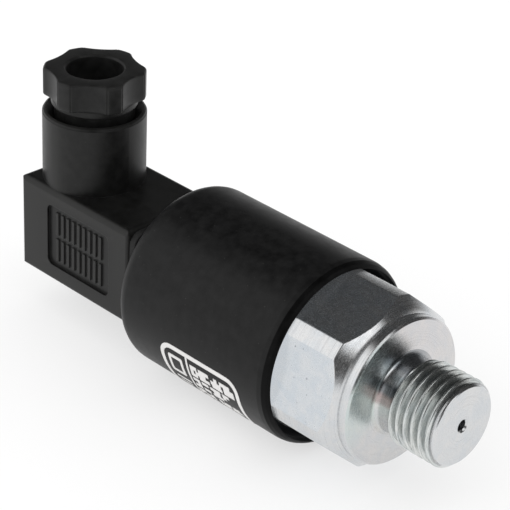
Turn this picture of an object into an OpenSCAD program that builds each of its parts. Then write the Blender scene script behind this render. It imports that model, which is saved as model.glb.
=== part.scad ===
// Piston pressure switch with a hexagon process port, a black sleeve housing
// and a small angled cable plug. All sizes in millimetres.
// Origin: centre of the port's sealing face, on the thread axis.
// +X points out of the port along the thread and is "front"; +Z is the cable gland direction.

/* [Port] */
// Major diameter of the port thread (G 1/4)
thread_d = 13.157; // [13.0:0.01:13.3]
// Thread pitch
thread_pitch = 1.337; // [1.25:0.01:1.4]
// Thread depth on one side
thread_depth = 0.856; // [0.7:0.01:0.95]
// Stud length in front of the sealing face
stud_len = 11.0; // [10.5:0.1:12]
// Diameter of the relief behind the thread
relief_d = 11.3; // [10.8:0.1:11.4]
// Diameter of the inlet hole
inlet_d = 1.6; // [1:0.1:2.4]
// Diameter of the round sealing flange
flange_d = 22.4; // [21:0.1:23]

/* [Hexagon] */
// Width across flats
hex_af = 24; // [24:0.1:24.6]
// Diameter the hexagon corners are turned to
hex_turn_d = 26.35; // [26:0.05:26.5]
// Where the hexagon's rear shoulder sits behind the sealing face
hex_back = 14.4; // [14.4:0.1:14.4]

/* [Sleeve housing] */
// Outside diameter of the sleeve
sleeve_d = 28.52; // [28:0.1:30]
// Distance from the sealing face to the sleeve's front edge
sleeve_front = 12.4; // [12:0.05:13]
// Distance from the sealing face to the sleeve's rear face
sleeve_rear = 44.2; // [44.2:0.1:45]
// Radius of the sleeve's rear edge
sleeve_round = 2.5; // [1:0.1:2.6]

/* [Piston and spring] */
// Piston diameter
piston_d = 5.94; // [5.9:0.01:5.98]
// Piston bore diameter
piston_bore_d = 6.0; // [6:0.01:6.02]
// Wire diameter of the adjusting spring
wire_d = 1.6; // [1.2:0.1:1.7]
// Turns of the adjusting spring
spring_turns = 4.75; // [4:0.25:5]
// Mean diameter of the adjusting spring
spring_d = 13.4; // [13:0.1:13.6]
// Diameter of the adjusting ring screw
adjust_d = 17.9; // [17.8:0.02:17.96]

/* [Snap switch] */
// Length of the switch case, across the sleeve
switch_len = 19.8; // [19.8:0.1:20.4]
// Thickness of the switch case and its cover
switch_thk = 6.4; // [6.4:0.1:6.4]

/* [Cable plug] */
// Width of the plug block
plug_w = 17.0; // [16.8:0.1:17.6]
// Height of the plug block
plug_h = 15.8; // [15.6:0.1:16.4]
// Distance from the sealing face to the plug's front face
plug_front = 47.7; // [47.7:0.1:47.7]
// Distance from the sealing face to the plug's rear face
plug_rear = 72.6; // [72.4:0.1:73.2]
// Edge radius of the plug block
plug_round = 0.6; // [0.4:0.1:1.4]
// Edge radius round the top of the plug block
plug_top_round = 1.0; // [0.6:0.1:1.4]
// Width of a contact blade
blade_w = 2.8; // [2.4:0.1:2.8]
// Thickness of a contact blade
blade_t = 0.5; // [0.4:0.05:0.5]
// Distance from the axis to each contact blade
blade_pos = 4.1; // [4.1:0.1:4.1]

/* [Cable gland] */
// Distance from the sealing face to the gland axis
gland_x = 65.3; // [64.8:0.1:65.6]
// Outside diameter of the gland collar
collar_d = 15.96; // [15.6:0.1:16.4]
// Height of the collar's rim above the thread axis
collar_top = 19.35; // [19.2:0.05:19.35]
// Diameter over the gland nut's lobes
nut_d = 15.6; // [15.2:0.1:16.4]
// Height of the gland nut's top above the thread axis
nut_top = 25.95; // [25.5:0.05:27]
// Cable hole through the gland nut
nut_hole_d = 8.7; // [8:0.1:9.6]
// Cable hole through the rubber seal
seal_hole_d = 6.2; // [5:0.1:6.6]

/* [Hidden] */
NODES = ["body_hex", "piston", "piston_seal", "backup_ring", "guide_bush",
  "spring_seat", "push_rod", "adjusting_spring", "thrust_ring",
  "adjusting_screw", "sleeve_housing", "sleeve_seal", "switch_carrier",
  "switch_case", "switch_cover", "switch_button", "contact_arm",
  "terminal_common", "terminal_no", "terminal_nc", "switch_screws",
  "lead_wires", "earth_strap", "connector_base", "contact_blades",
  "earth_blade", "threaded_insert", "flange_gasket", "plug_housing",
  "plug_insert", "plug_contacts", "plug_earth_contact", "terminal_screws",
  "fixing_screw", "screw_washer", "gland_seal", "gland_washer", "gland_nut",
  "type_label"];
node = "all";
$fn = 96;
overlap = 0.01; // joins touching shapes
steel = [0.80, 0.82, 0.84];
black = [0.10, 0.10, 0.10];
dark = [0.16, 0.16, 0.17];
brass = [0.80, 0.65, 0.35];
rubber = [0.06, 0.06, 0.06];

// ---- helpers: xs, ys and zs are [from, to] spans ---------------------------
function span(size, centre = 0) = [centre - size / 2, centre + size / 2];
// the span near..far on the side = 1 or side = -1 of zero
function sided(side, near, far) = side > 0 ? [near, far] : [-far, -near];

// solid of revolution about X; profile points are [radius, x]
module turned(profile) { rotate([0, 90, 0]) rotate_extrude() polygon(profile); }
module tube_x(inner_r, outer_r, xs) {
  turned([[inner_r, xs[0]], [outer_r, xs[0]], [outer_r, xs[1]], [inner_r, xs[1]]]);
}
module o_ring(mean_r, x, cord_r) {
  rotate([0, 90, 0]) rotate_extrude() translate([mean_r, x]) circle(r = cord_r, $fn = 32);
}
module rod_x(r, xs, y = 0, z = 0) {
  translate([xs[0], y, z]) rotate([0, 90, 0]) cylinder(r = r, h = xs[1] - xs[0]);
}
module rod_y(r, ys, x, z) {
  translate([x, ys[0], z]) rotate([-90, 0, 0]) cylinder(r = r, h = ys[1] - ys[0]);
}
module rod_z(r, zs, x, y = 0) { translate([x, y, zs[0]]) cylinder(r = r, h = zs[1] - zs[0]); }
module box(xs, ys, zs) {
  translate([xs[0], ys[0], zs[0]]) cube([xs[1] - xs[0], ys[1] - ys[0], zs[1] - zs[0]]);
}
module round_rect(w, h, r) {
  square([w - 2 * r, h], center = true);
  square([w, h - 2 * r], center = true);
  for (i = [-1, 1]) for (j = [-1, 1])
    translate([i * (w / 2 - r), j * (h / 2 - r)]) circle(r = r, $fn = 48);
}
// rounded rectangle with its own radius at the upper corners
module plug_rect(w, h, top_r = plug_top_round, r = plug_round) {
  square([w - 2 * top_r, h], center = true);
  translate([-w / 2, -h / 2 + r]) square([w, h - top_r - r]);
  translate([-w / 2 + r, -h / 2]) square([w - 2 * r, h - top_r]);
  for (i = [-1, 1]) {
    translate([i * (w / 2 - top_r), h / 2 - top_r]) circle(r = top_r, $fn = 48);
    translate([i * (w / 2 - r), -h / 2 + r]) circle(r = r, $fn = 48);
  }
}
module round_bar(xs, w, h, r) {
  translate([xs[0], 0, 0]) rotate([90, 0, 90]) linear_extrude(height = xs[1] - xs[0])
    round_rect(w, h, r);
}
// places children at each of the count blade positions: +Z, -Y, -Z, +Y
module each_blade(count) { for (k = [0:count - 1]) rotate([90 * k, 0, 0]) children(); }

// ---- hydraulic end ---------------------------------------------------------
thread_r = thread_d / 2;
stud_chamfer = 0.78;
flank = thread_depth * 0.5206;        // axial run of a 55 degree flank
crest = (thread_pitch - 2 * flank) / 2;
first_crest_x = stud_len - 0.8;
crest_count = 6;
// front to rear: crest, flank and root; the last ridge has no root
function ridge(i) = let (x = first_crest_x - i * thread_pitch, foot = x - crest - flank)
  [[thread_r, x], [thread_r, x - crest], [thread_r - thread_depth, foot],
   [thread_r - thread_depth, foot - (i < crest_count - 1 ? crest : 0)]];
ridges = [for (i = [0:crest_count - 1]) for (point = ridge(i)) point];
thread_end_x = first_crest_x - (crest_count - 1) * thread_pitch - crest - flank;

flange_rear_x = -2.6;
flange_chamfer = 0.3;
hex_front_x = -1.6;
hex_turn = 48;              // turn of the hexagon about X, in degrees
spigot_r = 12.25;
body_rear_x = -26.5;
body_tail_r = 11.2;
groove_r = 10.8;            // floor of the sleeve seal's groove
groove_front_x = -16.0;
groove_rear_x = -18.2;
sleeve_cord_r = 0.75;
recess_r = 4.95;            // piston seal's recess
piston_cord_r = 0.98;
bush_r = 6.0;
bush_front_x = -4.0;
bush_rear_x = -8.0;
guide_r = 3.03;             // bore of the bush and the backup ring
chamber_r = 9.0;            // spring chamber
seat_rear_x = -10.3;
rod_front_x = -10.6;
thrust_front_x = -21.5;
thrust_rear_x = -22.7;

module body_hex() {
  flange_r = flange_d / 2;
  hex_turn_r = hex_turn_d / 2;
  inlet_r = inlet_d / 2;
  color(steel) difference() {
    union() {
      // stud with its ridges, relief and round flange
      turned(concat([[0, flange_rear_x], [0, stud_len], [thread_r - stud_chamfer, stud_len]],
        ridges,
        [[relief_d / 2, thread_end_x - 0.12], [relief_d / 2, 0], [flange_r - flange_chamfer, 0],
         [flange_r, -flange_chamfer], [flange_r, flange_rear_x]]));
      // hexagon with turned corners and a front chamfer
      intersection() {
        translate([-hex_back, 0, 0]) rotate([0, 90, 0]) rotate([0, 0, hex_turn])
          cylinder(r = hex_af / 2 / cos(30), h = hex_back - 1.5, $fn = 6);
        turned([[0, -hex_back], [hex_turn_r, -hex_back],
          [hex_turn_r, hex_front_x - (hex_turn_d - flange_d) / 2],
          [flange_r, hex_front_x], [0, hex_front_x]]);
      }
      // rear spigot inside the sleeve, with a seal groove
      turned([[0, -hex_back + overlap], [spigot_r, -hex_back + overlap],
        [spigot_r, groove_front_x], [groove_r, groove_front_x],
        [groove_r, groove_rear_x], [spigot_r, groove_rear_x],
        [spigot_r, -19.7], [11.95, -20.0], [body_tail_r, -20.0],
        [body_tail_r, body_rear_x], [0, body_rear_x]]);
    }
    // inlet and its mouth chamfer
    rod_x(inlet_r, [6.5, stud_len + 1]);
    turned([[0, stud_len - 0.25], [inlet_r, stud_len - 0.25],
      [inlet_r + 0.27, stud_len + 0.02], [0, stud_len + 0.02]]);
    // piston bore, seal recess and bush seat
    rod_x(piston_bore_d / 2, [-1.0, 7.0]);
    rod_x(recess_r, [bush_front_x - 0.1, -0.5]);
    rod_x(bush_r, [bush_rear_x - 0.2, bush_front_x]);
    // spring chamber and its rear chamfer
    turned([[0, -27], [chamber_r, -27], [chamber_r, bush_rear_x], [0, bush_rear_x]]);
    turned([[0, body_rear_x - 0.01], [9.35, body_rear_x - 0.01], [chamber_r, -26.1], [0, -26.1]]);
  }
}

module piston() {
  r = piston_d / 2;
  color([0.62, 0.63, 0.66])
    turned([[0, 6.6], [r - 0.35, 6.6], [r, 6.25], [r, -8.5], [r - 0.4, -8.88], [0, -8.88]]);
}

module piston_seal() { color(rubber) o_ring(recess_r - piston_cord_r, -1.6, piston_cord_r); }

module backup_ring() { color([0.92, 0.92, 0.88]) tube_x(guide_r, 4.93, [-3.95, -2.65]); }

module guide_bush() {
  chamfer = 0.3;
  color(brass) turned([[guide_r, bush_front_x], [bush_r - chamfer, bush_front_x],
    [bush_r, bush_front_x - chamfer], [bush_r, bush_rear_x + chamfer],
    [bush_r - chamfer, bush_rear_x], [3.3, bush_rear_x], [guide_r, bush_rear_x + chamfer]]);
}

module spring_seat() {
  color([0.55, 0.56, 0.58]) turned([[0, -8.9], [3.1, -8.9], [3.1, -8.1], [8.3, -8.1],
    [8.6, -8.4], [8.6, seat_rear_x], [5.6, seat_rear_x], [5.6, -11.2], [5.2, -11.6],
    [1.25, -11.6], [1.25, rod_front_x], [0, rod_front_x]]);
}

module push_rod() {
  color([0.70, 0.71, 0.73]) turned([[0, rod_front_x], [1.2, rod_front_x],
    [1.2, -27.3], [0.9, -27.57], [0, -27.57]]);
}

// closed-end coil spring between the seat and the thrust ring
coil_front_x = seat_rear_x - wire_d / 2 - 0.01;
coil_rear_x = thrust_front_x + wire_d / 2 + 0.01;
closed_turns = 0.75;             // at each end
closed_pitch = wire_d * 1.04;
closed_len = closed_pitch * closed_turns;
open_len = coil_rear_x - coil_front_x + 2 * closed_len;
function coil_x(turn) =
  turn < closed_turns ? coil_front_x - closed_pitch * turn
  : turn > spring_turns - closed_turns ? coil_rear_x + closed_pitch * (spring_turns - turn)
  : coil_front_x - closed_len
    + (turn - closed_turns) / (spring_turns - 2 * closed_turns) * open_len;
turn_steps = 24;
coil_steps = turn_steps * spring_turns;
wire_sides = 8;
function coil_index(i, j) = i * wire_sides + j % wire_sides;

module adjusting_spring() {
  wire_r = wire_d / 2;
  sides = [0:wire_sides - 1];
  points = [for (i = [0:coil_steps]) for (j = sides)
    let (turn = i / turn_steps, side_angle = 360 * (j + 0.5) / wire_sides,
      r = spring_d / 2 + wire_r * cos(side_angle))
    [coil_x(turn) + wire_r * sin(side_angle), r * cos(360 * turn), r * sin(360 * turn)]];
  // two end caps, then two triangles for each side of each step
  faces = concat(
    [[for (j = sides) wire_sides - 1 - j]],
    [[for (j = sides) coil_index(coil_steps, j)]],
    [for (i = [0:coil_steps - 1]) for (j = sides)
      [coil_index(i, j), coil_index(i, j + 1), coil_index(i + 1, j + 1)]],
    [for (i = [0:coil_steps - 1]) for (j = sides)
      [coil_index(i, j), coil_index(i + 1, j + 1), coil_index(i + 1, j)]]);
  color([0.45, 0.46, 0.48]) polyhedron(points = points, faces = faces);
}

module thrust_ring() {
  color([0.60, 0.61, 0.63]) tube_x(4.6, chamber_r - 0.03, [thrust_rear_x, thrust_front_x]);
}

module adjusting_screw() {
  r = adjust_d / 2;
  bore_r = 1.8;
  chamfer = 0.3;
  rear_x = -26.2;
  color(brass) difference() {
    turned([[bore_r, thrust_rear_x], [r - chamfer, thrust_rear_x], [r, thrust_rear_x - chamfer],
      [r, rear_x + chamfer], [r - chamfer, rear_x], [bore_r + chamfer, rear_x],
      [bore_r, rear_x + chamfer]]);
    // slot and two holes in the rear face
    box([-27, -24.8], span(2.2), span(24));
    for (side = [-1, 1]) rod_x(1.0, [-27, -23.8], side * 5.6);
  }
}

// ---- sleeve ----------------------------------------------------------------
sleeve_r = sleeve_d / 2;
sleeve_bore_r = 12.3;
base_front_x = -40.2;      // connector base: flange, then a rounded block
base_shoulder_x = -41.8;
base_rear_x = -46.5;
base_w = 16.1;
base_h = 14.8;
base_round = 2;
base_gap = 0.1;            // opening over block, on width and height

module sleeve_housing() {
  front_x = -sleeve_front;
  color(black) difference() {
    rotate([0, 90, 0]) rotate_extrude() {
      translate([0, -sleeve_rear]) square([sleeve_r - sleeve_round, 6]);
      translate([0, -sleeve_rear + sleeve_round])
        square([sleeve_r, sleeve_rear - sleeve_round - sleeve_front - 1.8]);
      translate([sleeve_r - sleeve_round, -sleeve_rear + sleeve_round])
        circle(r = sleeve_round, $fn = 48);
      // rounded front edge
      polygon([[0, -15.5], [sleeve_r, -15.5], [sleeve_r, front_x - 1.8],
        [sleeve_r - 0.14, front_x - 1.05], [sleeve_r - 0.41, front_x - 0.45],
        [sleeve_r - 0.71, front_x - 0.12], [sleeve_r - 0.88, front_x], [0, front_x]]);
    }
    // front recess round the hexagon, and main bore
    turned([[0, front_x + 1], [13.3, front_x + 1], [13.3, front_x], [13.25, front_x - 0.1],
      [13.25, -hex_back], [sleeve_bore_r, -hex_back],
      [sleeve_bore_r, base_shoulder_x], [0, base_shoulder_x]]);
    // rear opening
    round_bar([-sleeve_rear - 1, -41], base_w + base_gap, base_h + base_gap,
      base_round + base_gap / 2);
  }
}

module sleeve_seal() {
  color(rubber)
    o_ring(groove_r + sleeve_cord_r, (groove_front_x + groove_rear_x) / 2, sleeve_cord_r);
}

// ---- snap switch -----------------------------------------------------------
half_thk = switch_thk / 2;
case_xs = [-36.2, -28.2];
cover_y = -2.2;            // joint between cover and case
cheek_t = 1.4;             // carrier walls either side of the case
screw_x = -34.0;
screw_zs = [5.4, -4.5];
terminal_w = 3.2;
terminal_t = 0.4;
terminal_rear_x = -38.8;
common_z = -7.9;           // lower face of each terminal
no_z = 2.8;
nc_z = 8.2;
contact_r = 0.9;
contact_z = 6.5;

module switch_rods(r, ys) { for (z = screw_zs) rod_y(r, ys, screw_x, z); }

module switch_carrier() {
  color([0.75, 0.74, 0.70]) difference() {
    union() {
      rod_x(spigot_r, [case_xs[1], body_rear_x]);
      for (side = [-1, 1])
        box([case_xs[0], case_xs[1] + overlap], sided(side, half_thk, half_thk + cheek_t),
          span(16));
    }
    // push rod hole with a wider rear end
    rod_x(1.24, [-29, -26]);
    rod_x(1.9, [-29, -27.4]);
    // notch for the earth strap
    box([-29, -26], [11.0, 13], span(3.6));
    switch_rods(1.1, [-6, 0]);
    switch_rods(1.0, [0, 6]);
  }
}

module switch_case() {
  color(dark) difference() {
    union() {
      difference() {
        box(case_xs, [cover_y, half_thk], span(switch_len));
        box([-35.2, -29.4], [-3, 2.2], span(18));
      }
      switch_rods(1.6, [cover_y, 2.5]);
      // block holding the common terminal
      box([-35.4, -30.9], [cover_y, 2.4], [-9.2, -7.9]);
    }
    rod_x(1.04, [-30, -28]);
    switch_rods(1.1, [-4, 4]);
    for (z = [nc_z, no_z, common_z]) box([-37, -35], span(terminal_w), [z, z + terminal_t]);
  }
}

module switch_cover() {
  color(dark) difference() {
    box(case_xs, [-half_thk, cover_y], span(switch_len));
    switch_rods(1.1, [-4, 0]);
  }
}

module switch_button() {
  color([0.75, 0.16, 0.12]) turned([[0, -27.6], [0.7, -27.6], [1.0, -27.9], [1.0, -29.45],
    [1.4, -29.45], [1.4, -29.95], [0.6, -29.95], [0.6, -30.19], [0, -30.19]]);
}

module contact_arm() {
  color([0.85, 0.62, 0.35]) {
    box([-30.52, -30.22], span(terminal_w), [-7.44, 7.6]);
    rod_x(contact_r, [-30.9, -29.85], z = contact_z);
  }
}

// terminal strip with a wire hole near its rear end, joined to the children
module terminal(z, front_x, hole_z, hole_h = 3) {
  difference() {
    union() {
      box([terminal_rear_x, front_x], span(terminal_w), [z, z + terminal_t]);
      children();
    }
    translate([-37.7, 0, hole_z]) cylinder(r = 0.7, h = hole_h, $fn = 32);
  }
}

module terminal_common() {
  color(brass) terminal(common_z, -29.6, hole_z = -9)
    box([-31.0, -30.6], span(2.4), [common_z + terminal_t - overlap, -7.05]);
}

module terminal_no() {
  color(brass) terminal(no_z, -32.05, hole_z = 1, hole_h = 4) {
    box([-32.3, -32.05], span(terminal_w), [no_z, 7.5]);
    rod_x(contact_r, [-32.06, -31.84], z = contact_z);
  }
}

module terminal_nc() {
  color(brass) terminal(nc_z, -29.4, hole_z = 7) {
    box([-29.65, -29.4], span(terminal_w), [5.4, nc_z + terminal_t]);
    rod_x(contact_r, [-29.82, -29.64], z = contact_z);
  }
}

module switch_screws() {
  head_y = -half_thk - cheek_t;
  color(steel) for (z = screw_zs) difference() {
    union() {
      rod_y(1.9, [head_y - 1.2, head_y], screw_x, z);
      rod_y(1.0, [head_y - 0.1, 4.5], screw_x, z);
    }
    box([-36.5, -31.5], [head_y - 1.6, head_y - 0.6], span(0.5, z));
  }
}

// insulated leads from the switch terminals to the blade tails
module lead_wires() {
  r = 0.45;
  x = -38.3;
  bend_y = -1.0;
  bend_z = 6.4;
  color([0.55, 0.12, 0.10])
    rod_z(r, [common_z + terminal_t, -blade_pos - blade_t / 2], x);
  color([0.12, 0.20, 0.50]) rod_z(r, [no_z + terminal_t, blade_pos - blade_t / 2], x);
  color([0.75, 0.70, 0.20]) union() {
    rod_z(r, [bend_z, nc_z], x, bend_y);
    rod_y(r, [-blade_pos, bend_y], x, bend_z);
    rod_z(r, [blade_w / 2, bend_z], x, -blade_pos);
    for (y = [bend_y, -blade_pos]) translate([x, y, bend_z]) sphere(r = r, $fn = 24);
  }
}

module earth_strap() {
  outer_y = 11.6;
  color([0.82, 0.70, 0.40]) union() {
    box([-38.6, -22.0], [outer_y - 0.4, outer_y], span(3));
    box([-38.6, -38.2], [blade_pos + blade_t / 2, outer_y], span(2.4));
  }
}

// ---- device side connector -------------------------------------------------
insert_r = 2.4;
screw_clear_r = 1.7;

module blade_bar(xs, gap = 0) { box(xs, span(blade_w + gap), span(blade_t + gap, blade_pos)); }

// blade with a pointed rear tip
module blade() {
  tip_x = -52.2;           // where the point starts
  intersection() {
    blade_bar([-53.0, -37.8]);
    union() {
      box([tip_x, -37], span(6), [0, 8]);
      translate([tip_x, 0, 0]) rotate([0, 0, 45]) box(span(1.98), span(1.98), [0, 8]);
    }
  }
}

module connector_base() {
  color(dark) difference() {
    union() {
      rod_x(12.2, [base_shoulder_x, base_front_x]);
      round_bar([base_rear_x, base_shoulder_x + overlap], base_w, base_h, base_round);
    }
    each_blade(4) blade_bar([-50, -38]);
    rod_x(insert_r, [-50, -38]);
  }
}

module contact_blades() { color(brass) each_blade(3) blade(); }
module earth_blade() { color(brass) rotate([270, 0, 0]) blade(); }

module threaded_insert() {
  color(brass) difference() {
    rod_x(insert_r, [-46.4, -40.6]);
    rod_x(1.3, [-47, -40]);
  }
}

module flange_gasket() {
  color(rubber) difference() {
    round_bar([-plug_front, base_rear_x], base_w + 0.4, base_h + 0.4, base_round);
    each_blade(4) blade_bar([-50, -45], gap = 0.3);
    rod_x(screw_clear_r, [-50, -45]);
  }
}

// ---- cable plug ------------------------------------------------------------
plug_len = plug_rear - plug_front;
plug_mid_x = -(plug_rear + plug_front) / 2;
insert_w = 13.6;
insert_h = 12.4;
insert_rear_x = -59.6;
hollow_gap = 0.2;          // hollow over insert, on width and height
post_r = 2.7;              // post round the fixing screw
head_x = -69.8;            // underside of the fixing screw's head
washer_seat_x = -69.2;
contact_w = 3.8;
contact_t = 1.5;
pocket_gap = 0.1;          // pocket round a contact, each side
slot_gap = 0.06;           // contact's slot round a blade, each side
clamp_x = -57.6;           // terminal screws
clamp_r = 1.0;
shank_r = 1.25;

// recess in one side, leaving two rows of grip ribs
module side_panel(side) {
  half_w = plug_w / 2;
  panel_ys = sided(side, half_w - 0.45, half_w + 1);
  rib_ys = sided(side, half_w - 1, half_w - 0.2);
  difference() {
    translate([-59.25, panel_ys[1], 0]) rotate([90, 0, 0])
      linear_extrude(height = panel_ys[1] - panel_ys[0]) round_rect(14.3, 10.4, 1.1);
    for (row = [-1, 1]) for (i = [0:8])
      let (x = -64.6 + i * 1.25) box([x, x + 0.6], rib_ys, sided(row, 0.35, 4.2));
  }
}

module at_gland() { translate([-gland_x, 0, 0]) children(); }

module post_bores() {
  rod_x(1.45, [-72, -58]);
  rod_x(2.9, [-80, washer_seat_x]);
}

module plug_housing() {
  collar_r = collar_d / 2;
  color(black) difference() {
    union() {
      // block rounded in all three views
      intersection() {
        translate([-plug_rear, 0, 0]) rotate([90, 0, 90]) linear_extrude(height = plug_len)
          plug_rect(plug_w, plug_h);
        translate([plug_mid_x, 0, -plug_h]) linear_extrude(height = 2 * plug_h)
          round_rect(plug_len, plug_w, plug_round);
        translate([plug_mid_x, plug_w, 0]) rotate([90, 0, 0])
          linear_extrude(height = 2 * plug_w) plug_rect(plug_len, plug_h);
      }
      // gland collar
      rod_z(collar_r, [-5, collar_top - 0.5], -gland_x);
      at_gland() rotate_extrude() polygon([[0, 18], [collar_r, 18],
        [collar_r, collar_top - 0.6], [collar_r - 0.18, collar_top - 0.18],
        [collar_r - 0.5, collar_top], [0, collar_top]]);
    }
    side_panel(-1);
    side_panel(1);
    // hollow for the contact insert and the wires, less the post and its thicker rear end
    difference() {
      round_bar([-71.0, -plug_front + 1], insert_w + hollow_gap, insert_h + hollow_gap, 0.8);
      rod_x(post_r, [-70, -60.2]);
      rod_x(3.9, [-72, -68.0]);
    }
    post_bores();
    // gland bore, its lead-in and the way into the hollow
    at_gland() rotate_extrude() polygon([[0, 3], [4.6, 3], [4.6, 10.9], [6.2, 10.9],
      [6.2, collar_top - 1.3], [7.45, collar_top], [7.45, collar_top + 1], [0, collar_top + 1]]);
  }
  // post continues across the gland opening
  color(black) difference() {
    rod_x(post_r, [-71.5, -60.2]);
    post_bores();
  }
}

module plug_insert() {
  pocket_w = contact_w + 2 * pocket_gap;
  pocket_zs = span(contact_t + 2 * pocket_gap, blade_pos);
  color([0.30, 0.31, 0.33]) difference() {
    round_bar([insert_rear_x, -plug_front - 0.1], insert_w, insert_h, 0.8);
    rod_x(screw_clear_r, [-61, -47]);
    each_blade(4) {
      box([-61, -47], span(pocket_w), pocket_zs);
      box([-61, -55.9], span(pocket_w), [pocket_zs[0], 8]);
    }
  }
}

module plug_contact() {
  contact_zs = span(contact_t, blade_pos);
  difference() {
    union() {
      box([-56.0 - overlap, -48.6], span(contact_w), contact_zs);
      box([-59.2, -56.0], span(contact_w), [contact_zs[0], 6.0]);
    }
    blade_bar([-55.0, -48], gap = 2 * slot_gap);
    // wire hole from the rear, screw hole from outside
    rod_x(0.75, [-60, -56.6], z = blade_pos + 0.15);
    rod_z(clamp_r, [blade_pos + 0.9 - overlap, 7], clamp_x);
  }
}

module plug_contacts() { color(brass) each_blade(3) plug_contact(); }
module plug_earth_contact() { color([0.75, 0.76, 0.72]) rotate([270, 0, 0]) plug_contact(); }

module terminal_screws() {
  color(steel) each_blade(4) difference() {
    rod_z(clamp_r, [blade_pos + 0.95, 6.1], clamp_x);
    box([-59, -56], span(0.44), [5.6, 7]);
  }
}

module fixing_screw() {
  color(steel) difference() {
    turned([[0, -71.6], [2.0, -71.6], [2.25, -71.35], [2.25, head_x], [shank_r, head_x],
      [shank_r, -41.7], [1.0, -41.4], [0, -41.4]]);
    box([-72, -70.9], span(6), span(0.6));
  }
}

module screw_washer() { color([0.55, 0.56, 0.57]) tube_x(1.33, post_r, [head_x, washer_seat_x]); }

// ---- cable gland: profile points are [radius, z] ---------------------------
module gland_seal() {
  r = seal_hole_d / 2;
  color(rubber) at_gland() rotate_extrude()
    polygon([[r, 10.95], [6.0, 10.95], [6.0, 15.9], [5.5, 16.6], [r, 16.6]]);
}

module gland_washer() {
  color([0.70, 0.70, 0.68]) at_gland() rotate_extrude()
    polygon([[3.7, 16.65], [6.05, 16.65], [6.05, 17.6], [3.7, 17.6]]);
}

module gland_nut() {
  nut_r = nut_d / 2;
  edge_r = nut_r + 0.05;
  hole_r = nut_hole_d / 2;
  head_z = 21.35;          // underside of the lobed head
  color(black) at_gland() difference() {
    union() {
      // spigot in the collar and the ring above it
      rotate_extrude() polygon([[0, 17.65], [5.9, 17.65], [6.15, 17.9], [6.15, 20.3],
        [6.7, 20.3], [7.0, 20.45], [7.0, head_z + overlap], [0, head_z + overlap]]);
      // head with six scallops and chamfered edges
      intersection() {
        translate([0, 0, head_z]) linear_extrude(height = nut_top - head_z) difference() {
          circle(r = nut_r);
          for (k = [0:5]) rotate([0, 0, 12.6 + 60 * k]) translate([nut_r + 6.45, 0])
            circle(r = 7.5);
        }
        rotate_extrude() polygon([[0, 21.25], [nut_r - 0.3, 21.25], [edge_r, 21.6],
          [edge_r, nut_top - 0.5], [nut_r - 0.5, nut_top + 0.05], [0, nut_top + 0.05]]);
      }
    }
    translate([0, 0, 17]) cylinder(r = hole_r, h = 12);
    rotate_extrude() polygon([[0, nut_top - 0.3], [hole_r, nut_top - 0.3],
      [hole_r + 0.32, nut_top + 0.02], [0, nut_top + 0.02]]);
  }
}

// plain printed marking on the sleeve, without any lettering
label_turn = 120;          // about X, from +Z
label_x = -25.8;
label_t = 0.06;
module type_label() {
  color([0.85, 0.85, 0.85]) intersection() {
    tube_x(sleeve_r, sleeve_r + label_t, [-40, -12]);
    rotate([label_turn, 0, 0]) translate([label_x, 0, 12]) linear_extrude(height = 4)
      round_rect(15.4, 10.9, 2.4);
  }
}

function shown(name) = node == "all" || node == name;
if (shown("body_hex")) body_hex();
if (shown("piston")) piston();
if (shown("piston_seal")) piston_seal();
if (shown("backup_ring")) backup_ring();
if (shown("guide_bush")) guide_bush();
if (shown("spring_seat")) spring_seat();
if (shown("push_rod")) push_rod();
if (shown("adjusting_spring")) adjusting_spring();
if (shown("thrust_ring")) thrust_ring();
if (shown("adjusting_screw")) adjusting_screw();
if (shown("sleeve_housing")) sleeve_housing();
if (shown("sleeve_seal")) sleeve_seal();
if (shown("switch_carrier")) switch_carrier();
if (shown("switch_case")) switch_case();
if (shown("switch_cover")) switch_cover();
if (shown("switch_button")) switch_button();
if (shown("contact_arm")) contact_arm();
if (shown("terminal_common")) terminal_common();
if (shown("terminal_no")) terminal_no();
if (shown("terminal_nc")) terminal_nc();
if (shown("switch_screws")) switch_screws();
if (shown("lead_wires")) lead_wires();
if (shown("earth_strap")) earth_strap();
if (shown("connector_base")) connector_base();
if (shown("contact_blades")) contact_blades();
if (shown("earth_blade")) earth_blade();
if (shown("threaded_insert")) threaded_insert();
if (shown("flange_gasket")) flange_gasket();
if (shown("plug_housing")) plug_housing();
if (shown("plug_insert")) plug_insert();
if (shown("plug_contacts")) plug_contacts();
if (shown("plug_earth_contact")) plug_earth_contact();
if (shown("terminal_screws")) terminal_screws();
if (shown("fixing_screw")) fixing_screw();
if (shown("screw_washer")) screw_washer();
if (shown("gland_seal")) gland_seal();
if (shown("gland_washer")) gland_washer();
if (shown("gland_nut")) gland_nut();
if (shown("type_label")) type_label();
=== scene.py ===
"""A pressure switch lying along X. The threaded steel stud points to +X, followed towards -X by
the flange, the hexagon, a black sleeve and a plug, whose gland nut points up (+Z).
The X axis runs through the stud and the sleeve. Sizes are in millimetres unless a comment says
otherwise, and angles round X start at +Y and turn towards +Z."""
import math

import bmesh
import bpy
import numpy as np
from mathutils import Matrix, Vector


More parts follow.
